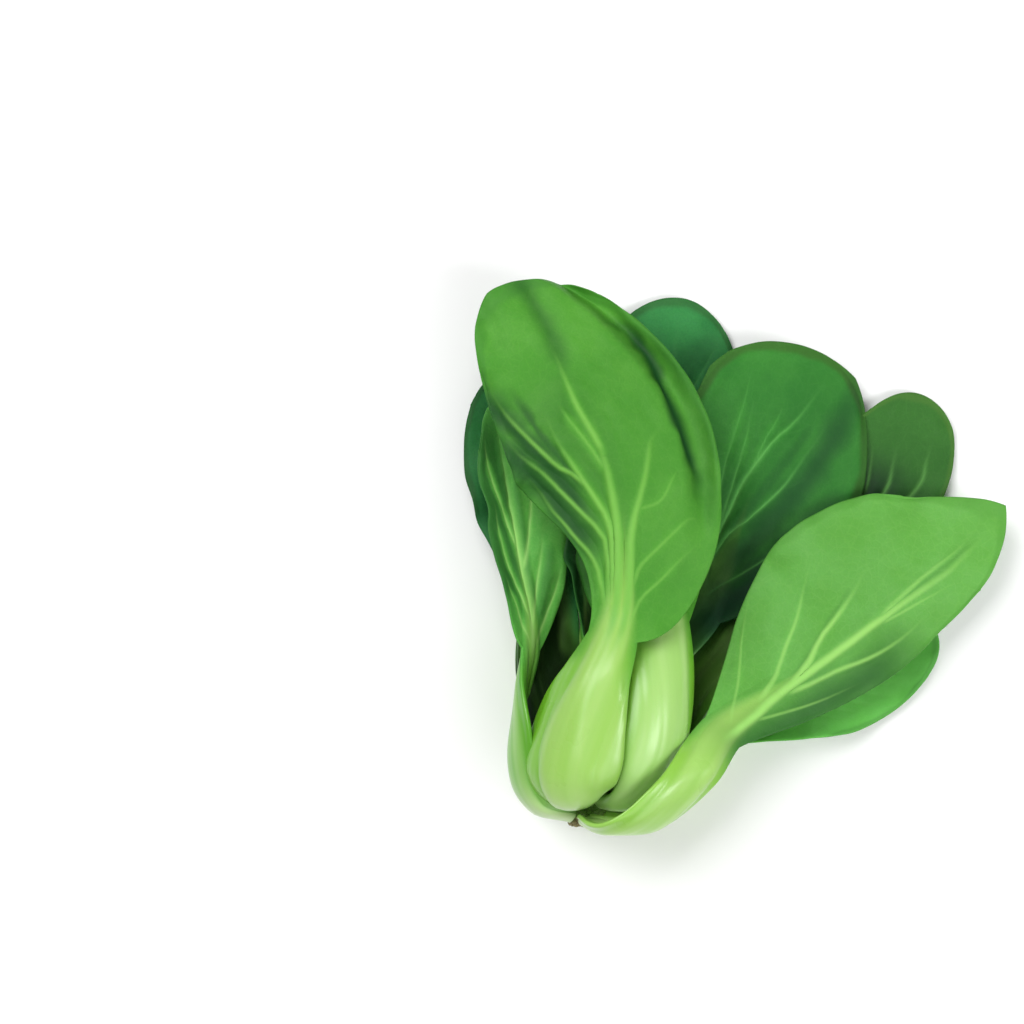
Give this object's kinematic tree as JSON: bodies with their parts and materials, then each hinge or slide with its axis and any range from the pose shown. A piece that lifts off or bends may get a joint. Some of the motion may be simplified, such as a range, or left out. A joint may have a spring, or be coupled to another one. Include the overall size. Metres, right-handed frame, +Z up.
{
  "type": "bok choy",
  "caption": "Cut head of green-stalked bok choy lying on its back: pale stalks form a bulb round a short stem and spoon-shaped veined blades fan out from it.",
  "frame": {"origin": "on the table, under the middle of the head's bounding box", "axes": "+Y from the cut stem towards the leaf tips, +Z up from the table, +X to the right seen from above with the leaf tips away from the viewer"},
  "size_m": [0.1918, 0.1944, 0.0582],
  "materials": {
    "light_leaf": "waxy, pale yellow-green stalk and mid-green blade",
    "dark_leaf": "waxy, pale stalk and dark green blade",
    "cut_stem": "matt, browned cut"
  },
  "bodies": {
    "root": {"front_leaf": "light_leaf", "inner_front_leaf": "light_leaf", "right_back_leaf": "dark_leaf", "top_back_leaf": "dark_leaf", "far_right_leaf": "dark_leaf", "low_right_leaf": "light_leaf", "under_right_leaf": "light_leaf", "left_leaf": "light_leaf", "back_left_leaf": "dark_leaf", "heart_leaf_1": "light_leaf", "heart_leaf_2": "light_leaf", "heart_leaf_3": "light_leaf", "crown": "cut_stem"}
  },
  "joints": []
}
